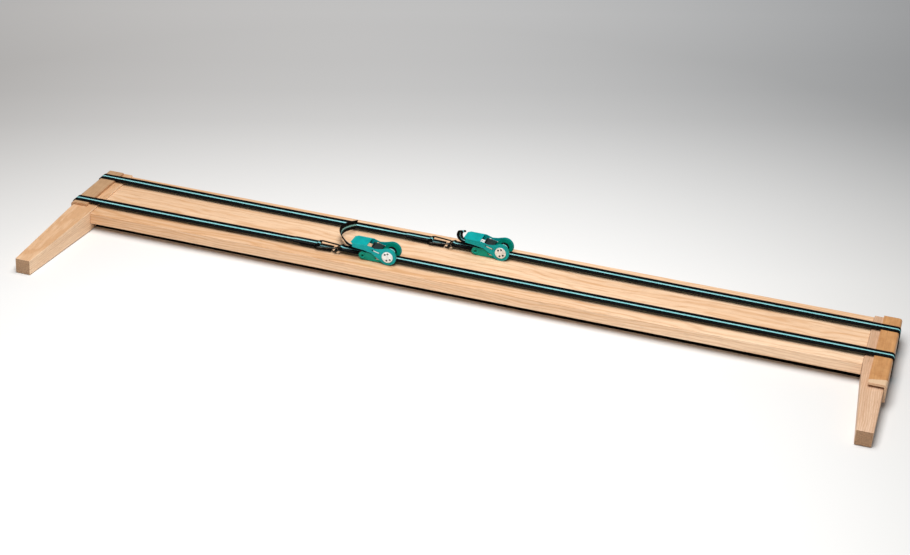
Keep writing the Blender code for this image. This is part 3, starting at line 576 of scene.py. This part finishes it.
def ribbon(name, rows, material, closed=False, body="bench_frame", tip=0.0):
    """A woven strip through rows of (middle, direction across), riding on a body."""
    work = bmesh.new()
    rings = ribbon_rings(work, rows, closed, tip)
    join_rings(work, rings, closed)
    if not closed:
        close_end(work, rings[0])
        close_end(work, rings[-1])
    made = as_object(work, name, material)
    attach(made, body)
    return made


def arc(x, z, radius, start, end, count):
    """Points on an arc, its start and end in degrees, in count steps."""
    turns = [math.radians(start + (end - start) * i / count) for i in range(count + 1)]
    return [(x + radius * math.cos(a), z + radius * math.sin(a)) for a in turns]


def spread(points, step):
    """The same open line with points no further apart than step."""
    found = []
    for a, b in zip(points, points[1:]):
        count = max(1, math.ceil(math.dist(a, b) / step))
        found += [tuple(p + (q - p) * i / count for p, q in zip(a, b)) for i in range(count)]
    return [*found, points[-1]]


def smooth(points, steps):
    """A Catmull-Rom curve through points of any dimension, in steps between each two."""
    found = []
    ends = [points[0], *points, points[-1]]
    for a, b, c, d in zip(ends, ends[1:], ends[2:], ends[3:]):
        a, b, c, d = (Vector(p) for p in (a, b, c, d))
        for i in range(steps):
            t = i / steps
            bent = (2 * a - 5 * b + 4 * c - d) * t**2 + (3 * b - a - 3 * c + d) * t**3
            found.append((2 * b + (c - a) * t + bent) / 2)
    return [*found, Vector(points[-1])]


class Strap:
    """One strap's own frame: x along it, y across it, measured as the CAD has it."""

    def __init__(self, tag):
        self.tag = tag
        hinge = next(j for j in frame["joints"] if j["name"] == f"{tag}_handle_hinge")
        axis, place = Vector(hinge["axis"]), Vector(hinge["pos_m"])
        self.across = axis.normalized()
        self.along = Vector((self.across.y, -self.across.x, 0))
        self.x = place.x / self.along.x
        self.z = place.z
        self.origin = Vector((0, place.y - self.x * self.along.y, 0))

    def at(self, x, y, z):
        """A point of the strap's line, x from the middle of the frame, z from the floor."""
        return self.origin + self.along * x + self.across * y + Vector((0, 0, z))

    def near(self, x, y, z):
        """A point measured from the ratchet's spindle."""
        return self.at(self.x + x, y, self.z + z)

    def turned(self, x, y, z):
        """A direction given in the strap's frame."""
        return (self.along * x + self.across * y + Vector((0, 0, z))).normalized()


GAP = 0.0003  # between the webbing and the bars it goes round
SEWN_GAP = 0.0001  # between sewn layers
LAYER = THICKNESS / 2 + SEWN_GAP  # from the middle of a sewn double layer to either layer
TIMBER_GAP = 0.0004  # between the timber and the webbing over it
LEAN = math.radians(-5)  # of the long runs about their own length
LEAN_RAMP = 0.070  # over which a run comes to lean
SAG = 0.0009  # of the long runs, at their middle
LOWER_FORWARD = 0.006  # how far the front strap's lower run lies in front of its upper one
TURN_FOOT = 0.030  # height at which its turns begin to move forward
TURN_X = 0.880  # from the middle of the frame to where the runs meet the turns
CORNER = 0.006  # radius of the webbing's inside round a caul
CAUL_FOOT_IN, CAUL_FOOT_DOWN = 0.0006, 0.0030  # the bend just below a caul's foot
LEG_FOOT_OUT, LEG_FOOT_UP = 0.0036, 0.0058  # the webbing beside the leg's lower corner
FLOOR_BEND, FLOOR_BEND_IN = 0.0050, 0.0020  # radius, and how far in from the leg's side
STITCHED = 0.056  # length of the sewn end, up to the hook's crossbar
# Along the step from single to double webbing: before it, its two upper points, and the end
# of the lower layer.
SEWN_BEFORE, SEWN_UPPER, SEWN_LOWER = 0.004, (0.001, 0.002), 0.0015
STITCH_INSET, HOOK_INSET = 0.003, 0.006  # from the sewn part's ends to its bars of stitches
SEAM = 0.0005  # from a sewn loop to where its two layers lie together
STEP, FINE_STEP, LOWER_STEP = 0.010, 0.004, 0.020  # between rows of the webbing
# Rows in each arc: over a caul, on the floor, round the hook or rivet, and round the ring.
CAUL_ROWS, FLOOR_ROWS, LOOP_ROWS, RING_ROWS = 10, 7, 22, 20
# Bars that the webbing goes round, along the strap and up from the spindle.
HOOK_BAR, HOOK_WIRE = (-0.1630, -0.0097), 0.0017
RING_BAR, RING_WIRE = (-0.1115, -0.0092), 0.0016
RIVET, RIVET_RADIUS = (-0.0573, -0.0093), 0.0035
# Where the long run leaves the winding: past the spindle along the strap, and below it.
RUN_START, RUN_OFFSET = 0.0092, 0.00885


def leaning(x, x0, x1):
    """How far across the webbing leans at x, on a run from x0 to x1."""
    t = min(1, max(0, min(x - x0, x1 - x) / LEAN_RAMP))
    return -math.tan(LEAN) * t * t * (3 - 2 * t)


def sagging(x, x0, x1):
    """How far the webbing hangs down at x, on a run from x0 to x1."""
    t = min(1, max(0, (x - x0) / (x1 - x0)))
    return -4 * SAG * t * (1 - t)


def forward(strap, z):
    """How far the webbing lies in front of its upper run, at height z of the turn."""
    depth = min(1, max(0, (TURN_FOOT - z) / TURN_FOOT))
    return -LOWER_FORWARD * depth if strap.tag == "front" else 0


def hanging_rows(strap, line, x0, x1):
    """Rows of a line that leans and sags between x0 and x1, and is straight after x1."""
    rows = []
    for x, z in line:
        held = min(x, x1)
        across = strap.turned(0, 1, leaning(held, x0, x1))
        rows.append((strap.at(x, 0, z + sagging(held, x0, x1)), across))
    return rows


def turn_points(side):
    """The webbing's middle line round one end, from the top run to the floor."""
    low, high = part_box("right_corner_caul")
    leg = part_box("right_leg")[1].x
    clear = TIMBER_GAP + THICKNESS / 2
    floor = THICKNESS / 2
    path = [(TURN_X, high.z + clear)]
    path += arc(high.x - CORNER, high.z - CORNER, CORNER + clear, 90, 0, CAUL_ROWS)
    path += [(high.x + clear, low.z)]
    path += [(high.x + clear - CAUL_FOOT_IN, low.z - CAUL_FOOT_DOWN)]
    path += [(leg + LEG_FOOT_OUT, LEG_FOOT_UP)]
    path += arc(leg - FLOOR_BEND_IN, floor + FLOOR_BEND, FLOOR_BEND, -5, -90, FLOOR_ROWS)
    path += [(TURN_X, floor)]
    return [(side * x, z) for x, z in path]


def sewn_end(bar, top):
    """The line from the left turn up to the hook's crossbar, round it and back."""
    loop = HOOK_WIRE + GAP + THICKNESS / 2
    opened = math.degrees(math.asin(LAYER / loop))
    sewn = bar[0] - STITCHED
    slope = (bar[1] - top) / (bar[0] + TURN_X)
    run = [(-TURN_X, top), (sewn - SEWN_BEFORE, bar[1] - slope * (STITCHED + SEWN_BEFORE))]
    line = spread(run, STEP)[1:]
    line += [(sewn + SEWN_UPPER[0], bar[1] - slope * STITCHED + LAYER)]
    upper = [(sewn + SEWN_UPPER[1], bar[1] + LAYER), (bar[0] - loop, bar[1] + LAYER)]
    line += spread(upper, FINE_STEP)
    line += arc(*bar, loop, 180 - opened, opened - 180, LOOP_ROWS)
    lower = [(bar[0] - loop, bar[1] - LAYER), (sewn + SEWN_LOWER, bar[1] - LAYER)]
    return line + spread(lower, FINE_STEP)


def make_long_webbing(strap, material):
    """From the winding over the right end, under the frame and up the left end to the hook.

    Returns where its sewn part lies along the strap, and its height, from the spindle.
    """
    bar = (strap.x + HOOK_BAR[0], strap.z + HOOK_BAR[1])
    right, left = turn_points(1), turn_points(-1)
    sewn, start = bar[0] - STITCHED, strap.x + RUN_START
    first = spread([(start, strap.z - RUN_OFFSET), right[0]], STEP)[:-1]
    rows = hanging_rows(strap, first, start, TURN_X)
    lower = spread([right[-1], left[-1]], LOWER_STEP)[:-1]
    ends = [*right[:-1], *lower, *left[::-1]]
    rows += [(strap.at(x, forward(strap, z), z), strap.across) for x, z in ends]
    rows += hanging_rows(strap, sewn_end(bar, right[0][1]), -TURN_X, sewn)
    made = ribbon(f"{strap.tag}_long_webbing", rows, material)
    names = ("hook_end", "top_left", "left_turn", "under", "right_turn", "top_right")
    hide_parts(*(f"{strap.tag}_webbing_{name}" for name in names))
    sewn_part = (sewn + STITCH_INSET - strap.x, bar[0] - HOOK_INSET - strap.x)
    return (sewn_part, bar[1] - strap.z)


def make_short_webbing(strap, material):
    """A sewn double strap between the ratchet's rivet and the hook's ring.

    Returns where it is sewn, as for the long webbing.
    """
    ring_loop = RING_WIRE + GAP + THICKNESS / 2
    rivet_loop = RIVET_RADIUS + GAP + THICKNESS / 2
    ring_open = math.degrees(math.asin(LAYER / ring_loop))
    rivet_open = math.degrees(math.asin(LAYER / rivet_loop))
    path = arc(*RIVET, rivet_loop, rivet_open - 180, 180 - rivet_open, LOOP_ROWS)
    from_x = RIVET[0] - rivet_loop * math.cos(math.radians(rivet_open)) - SEAM
    to_x = RING_BAR[0] + ring_loop * math.cos(math.radians(ring_open)) + SEAM
    upper = [(from_x, RIVET[1] + LAYER), (to_x, RING_BAR[1] + LAYER)]
    lower = [(to_x, RING_BAR[1] - LAYER), (from_x, RIVET[1] - LAYER)]
    path += spread(upper, FINE_STEP)
    path += arc(*RING_BAR, ring_loop, ring_open, 360 - ring_open, RING_ROWS)
    path += spread(lower, FINE_STEP)
    rows = [(strap.near(x, 0, z), strap.across) for x, z in path]
    made = ribbon(f"{strap.tag}_short_strap", rows, material, closed=True)
    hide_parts(f"{strap.tag}_short_webbing")
    return ((to_x + STITCH_INSET, from_x - STITCH_INSET), RIVET[1])


# Where the flap lies against the strap, where it passes below the hook's crossbar, and its
# free end, along the strap from that bar.
FLAP_HIGH, FLAP_LOW, FLAP_END = (-0.040, -0.0085), (-0.0035, 0.0050), 0.0315
FLAP_DROP = 0.0005  # of its free end


def make_flap(strap, material):
    """The flap of webbing below the hook, sewn under the strap's end."""
    x, z = HOOK_BAR
    clear = GAP + THICKNESS / 2
    high = z - THICKNESS - SEWN_GAP - clear
    low = z - HOOK_WIRE - GAP - THICKNESS - clear
    path = [(x + along, high) for along in FLAP_HIGH]
    path += [(x + along, low) for along in FLAP_LOW]
    path += [(x + FLAP_END, low - FLAP_DROP)]
    rows = [(strap.near(px, 0, pz), strap.across) for px, pz in spread(path, FINE_STEP)]
    made = ribbon(f"{strap.tag}_flap", rows, material)
    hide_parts(f"{strap.tag}_hook_flap")


SLOT_LINE = [(0.0068, 0.0), (0.0030, 0.0), (-0.0030, 0.0), (-0.0066, -0.0003)]
WINDING_STEPS, WINDING_STEP = 89, 9.0  # the second in degrees
WINDING_START, WINDING_RADIUS = 188, 0.00705  # in degrees and metres, where it leaves the slot
WINDING_GROWTH = 0.0000388  # of the radius, in each step


def make_roll(strap, material):
    """A little over two turns wound on the spindle, with their start through the shaft's slot."""
    path = list(SLOT_LINE)
    for i in range(WINDING_STEPS):
        angle = math.radians(WINDING_START + WINDING_STEP * i)
        radius = WINDING_RADIUS + WINDING_GROWTH * i
        path.append((radius * math.cos(angle), radius * math.sin(angle)))
    rows = [(strap.near(x, 0, z), strap.across) for x, z in path]
    made = ribbon(f"{strap.tag}_wound_webbing", rows, material, body=f"{strap.tag}_spindle")
    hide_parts(f"{strap.tag}_webbing_roll")


# Middle of the front free end: along, across and up from the spindle, and how far it has
# turned on edge, as a share of a quarter turn.
FRONT_TAIL = [
    (-0.0124, 0.0000, 0.0003, 0.00),
    (-0.0300, 0.0000, -0.0002, 0.00),
    (-0.0550, 0.0000, 0.0006, 0.00),
    (-0.0760, 0.0005, 0.0014, 0.02),
    (-0.0905, 0.0050, 0.0004, 0.20),
    (-0.1040, 0.0170, -0.0022, 0.46),
    (-0.1180, 0.0320, -0.0026, 0.62),
    (-0.1295, 0.0480, -0.0024, 0.78),
    (-0.1348, 0.0630, -0.0020, 0.96),
    (-0.1348, 0.0770, -0.0022, 1.06),
    (-0.1306, 0.0875, -0.0018, 1.12),
    (-0.1245, 0.0950, -0.0010, 1.15),
    (-0.1172, 0.0995, 0.0002, 1.16),
]
# Middle of the back free end: along and up from the spindle, and its share of the lean.
BACK_TAIL = [
    (-0.0124, 0.0003, 0.00),
    (-0.0300, -0.0002, 0.00),
    (-0.0550, 0.0006, 0.00),
    (-0.0760, 0.0018, 0.10),
    (-0.0880, 0.0022, 0.50),
    (-0.0955, 0.0060, 0.80),
    (-0.0992, 0.0130, 1.00),
    (-0.0988, 0.0200, 1.00),
    (-0.0960, 0.0250, 1.00),
    (-0.0925, 0.0255, 0.90),
    (-0.0913, 0.0215, 0.75),
]
CURL_LEAN = (0.30, -0.38)  # of the back free end, along and up
TAIL_TIP = 0.006  # how far the front free end is cut on the slant
SMOOTH_STEPS = 8  # rows between two points of a free end


def make_front_tail(strap, material):
    """The free end that turns on edge and bends over towards the back strap."""
    line = smooth(FRONT_TAIL, SMOOTH_STEPS)
    rows = []
    for i, here in enumerate(line):
        before, after = line[max(i - 1, 0)], line[min(i + 1, len(line) - 1)]
        level = (after - before).to_3d().cross(UP).normalized()
        angle = here.w * math.pi / 2
        across = level * math.cos(angle) - UP * math.sin(angle)
        rows.append((strap.near(*here.to_3d()), strap.turned(*across)))
    made = ribbon(f"{strap.tag}_free_end", rows, material, tip=TAIL_TIP)
    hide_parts(f"{strap.tag}_webbing_tail")


def make_back_tail(strap, material):
    """The free end that curls up behind the handle."""
    rows = []
    for x, z, share in smooth(BACK_TAIL, SMOOTH_STEPS):
        across = strap.turned(CURL_LEAN[0] * share, 1, CURL_LEAN[1] * share)
        rows.append((strap.near(x, 0, z), across))
    made = ribbon(f"{strap.tag}_free_end", rows, material)
    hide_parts(f"{strap.tag}_webbing_tail")


STITCH_LENGTH, STITCH_WIDTH, STITCH_HEIGHT, STITCH_SUNK = 0.0024, 0.0006, 0.00028, 0.0001
# A stitch's sections: place along its half length, height and width as shares of its own.
STITCH_SECTIONS = (
    (-1, -0.3, 0.6),
    (-0.6, 0.8, 1.0),
    (0, 1.0, 1.0),
    (0.6, 0.8, 1.0),
    (1, -0.3, 0.6),
)
STITCH_STEP = 0.0031
STITCH_ROWS = (-0.0100, -0.0067, 0.0067, 0.0100)  # across the webbing
STITCH_RAISED = 0.00012  # above the webbing's nominal face
BAR_STITCHES = 7


def stitch(work, middle, along, across, up):
    """One thread stitch: a short bowed pad on the webbing."""
    rows = []
    for t, rise, share in STITCH_SECTIONS:
        base = middle + along * t * STITCH_LENGTH / 2
        wide = STITCH_WIDTH / 2 * share
        row = [
            work.verts.new(base - across * wide - up * STITCH_SUNK),
            work.verts.new(base + up * STITCH_HEIGHT * rise),
            work.verts.new(base + across * wide - up * STITCH_SUNK),
        ]
        rows.append(row)
    join_rings(work, rows)
    work.faces.new(rows[0])
    work.faces.new(rows[-1][::-1])


def make_stitching(name, strap, zone, material):
    """Lengthwise rows of stitches with bars across both ends, on both faces."""
    (x0, x1), z = zone
    work = bmesh.new()
    for face in (1, -1):
        height = z + face * (THICKNESS + STITCH_RAISED)
        for y in STITCH_ROWS:
            for i in range(int((x1 - x0) / STITCH_STEP)):
                place = strap.near(x0 + (i + 0.5) * STITCH_STEP, y, height)
                stitch(work, place, strap.along, strap.across, UP * face)
        for x in (x0, x1):
            for i in range(BAR_STITCHES):
                place = strap.near(x, (i - BAR_STITCHES // 2) * STITCH_STEP, height)
                stitch(work, place, strap.across, strap.along, UP * face)
    made = as_object(work, name, material)
    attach(made, "bench_frame")


def make_straps():
    """All webbing and stitching of both straps."""
    woven = webbing("striped_webbing")
    plain = webbing("flap_webbing", FAINT_STRIPE)
    sewing = thread("sewing_thread")
    for tag in TAGS:
        strap = Strap(tag)
        long_zone = make_long_webbing(strap, woven)
        short_zone = make_short_webbing(strap, woven)
        make_flap(strap, plain)
        make_roll(strap, woven)
        make_stitching(f"{tag}_long_stitching", strap, long_zone, sewing)
        make_stitching(f"{tag}_short_stitching", strap, short_zone, sewing)
        tail = make_front_tail if tag == "front" else make_back_tail
        tail(strap, woven)


# ---------------------------------------------------------------- CAD nodes

SAME_POINT = 1e-6  # metres between vertices that become one
HARD_ANGLE, EASED_STEPS = math.radians(35), 2  # of the edges that are eased
# Width of the eased edges, by the end of a node's name.
BEVELS = {
    "ratchet_frame": 0.00030,
    "handle": 0.00035,
    "handle_pawl": 0.00025,
    "locking_pawl": 0.00025,
    "wheel": 0.00018,
    "end_disc": 0.00030,
    "half": 0.00030,
    "caul": 0.00060,
}


def dress(node, material):
    """A material on a CAD node, with its hard edges eased and its round faces smooth."""
    piece = NODES[node]
    piece.data.materials.clear()
    piece.data.materials.append(material)
    for face in piece.data.polygons:
        face.use_smooth = True
        face.material_index = 0
    weld = piece.modifiers.new("weld", "WELD")
    weld.merge_threshold = SAME_POINT
    width = next((w for ending, w in BEVELS.items() if node.endswith(ending)), None)
    if width:
        ease = piece.modifiers.new("eased_edges", "BEVEL")
        ease.width = width
        ease.segments = EASED_STEPS
        ease.limit_method = "ANGLE"
        ease.angle_limit = HARD_ANGLE
    normals = piece.modifiers.new("normals", "WEIGHTED_NORMAL")
    normals.keep_sharp = False
    normals.weight = 100


def timber_looks():
    """Material of each timber node."""
    rail = oak(
        "oak_rail",
        grain="X",
        light=srgb(249, 217, 184),
        dark=srgb(212, 162, 117),
        shift=3.1,
        pith=(0.09, -0.12),
        ring=0.0055,
        deepen=(-1.0, 0.4),
    )
    left_leg = oak(
        "oak_left_leg",
        grain="Y",
        light=srgb(253, 222, 188),
        dark=srgb(210, 164, 122),
        shift=7.7,
        pith=(-0.87, -0.05),
        ring=0.0048,
        deepen=(-0.9, -0.5),
        # upper face darkened as painted shade
        top=0.62,
    )
    right_leg = oak(
        "oak_right_leg",
        grain="Y",
        light=srgb(240, 212, 186),
        dark=srgb(198, 158, 126),
        shift=12.3,
        pith=(0.70, -0.02),
        ring=0.0042,
        deepen=(0.2, 0.9),
    )
    looks = {"rail_board": rail, "left_leg": left_leg, "right_leg": right_leg}
    looks["left_corner_caul"] = caul("left_caul", LEFT_PAPER, LEFT_PAPER_WORN)
    looks["right_corner_caul"] = caul("right_caul", RIGHT_PAPER, RIGHT_PAPER_WORN, BARE_TO)
    pin = beech("beech_dowel")
    for side in ("left", "right"):
        for place in ("front", "back"):
            looks[f"{side}_{place}_dowel"] = pin
    return looks


def in_node(node, place):
    """A point of the scene, in a CAD node's own frame."""
    return NODES[node].matrix_world.inverted() @ place


def own_looks(tag):
    """Materials of one ratchet that depend on where its spindle is."""
    centre = Strap(tag).near(0, 0, 0)
    looks = {}
    for node in (f"{tag}_near_end_disc", f"{tag}_far_end_disc"):
        looks[node] = disc_steel(f"{node}_steel", in_node(node, centre))
    pawl, handle = f"{tag}_handle_pawl", f"{tag}_handle"
    looks[pawl] = pawl_steel(f"{pawl}_steel", in_node(pawl, centre).y, HANDLE_INSIDE)
    hub = in_node(handle, centre)
    looks[handle] = lacquer(f"{handle}_lacquer", HANDLE_BLUE, HANDLE_BLUE_DEEP, hub)
    return looks


def dress_frame():
    """A material on every CAD node that shows."""
    looks = timber_looks()
    green = lacquer("frame_lacquer", FRAME_GREEN, FRAME_GREEN_DEEP)
    plated = zinc("zinc_plate", ZINC)
    dull = zinc("dull_wire", DULL_ZINC, 0.6)
    bright = zinc("bright_plate", BRIGHT_ZINC)
    shared = (
        (green, ("ratchet_frame", "tie_rivet")),
        (plated, ("locking_pawl", "locking_spring", "handle_spring", "near_wheel", "far_wheel")),
        (dull, ("wire_hook", "hook_ring")),
        (bright, ("spindle_upper_half", "spindle_lower_half")),
    )
    for tag in TAGS:
        looks.update(own_looks(tag))
        for look, names in shared:
            looks.update({f"{tag}_{name}": look for name in names})
    for node, look in looks.items():
        dress(node, look)


def compress_springs():
    """Gives each pawl's spring its own copy of its mesh."""
    for slide in (j for j in frame["joints"] if j["name"].endswith("_pawl_slide")):
        spring = NODES[slide["name"].replace("_pawl_slide", "_spring")]
        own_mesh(spring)


# ---------------------------------------------------------------- studio

FLOOR_SIZE = 24  # metres
SURROUND = 0.15  # strength of the even light from all sides
# Name, place, target, size, power and colour of each lamp.
LAMPS = (
    ("key", (0.10, 0.0, 3.2), (0.1, 0.05, 0.0), 1.5, 54, (1.0, 0.99, 0.97)),
    ("front_fill", (0.1, -1.7, 3.1), (0.1, 0.0, 0.0), 1.8, 100, (1.0, 1.0, 1.0)),
)


def make_studio():
    """Floor, even surrounding light and two soft lamps."""
    bpy.ops.mesh.primitive_grid_add(size=FLOOR_SIZE, x_subdivisions=4, y_subdivisions=4)
    floor = bpy.context.object
    floor.name = "studio_floor"
    floor.data.materials.append(make_floor_material())
    world = bpy.data.worlds.new("studio")
    world.use_nodes = True
    background = world.node_tree.nodes["Background"]
    background.inputs["Color"].default_value = (1.0, 1.0, 1.0, 1)
    background.inputs["Strength"].default_value = SURROUND
    SCENE.world = world
    for name, place, target, size, power, tint in LAMPS:
        lamp = bpy.data.lights.new(name, "AREA")
        lamp.size = size
        lamp.energy = power
        lamp.color = tint
        holder = bpy.data.objects.new(name, lamp)
        holder.location = place
        aim = Vector(target) - Vector(place)
        holder.rotation_euler = aim.to_track_quat("-Z", "Y").to_euler()
        SCENE.collection.objects.link(holder)
    SCENE.view_settings.view_transform = "Standard"


make_camera()
dress_frame()
compress_springs()
make_straps()
make_studio()
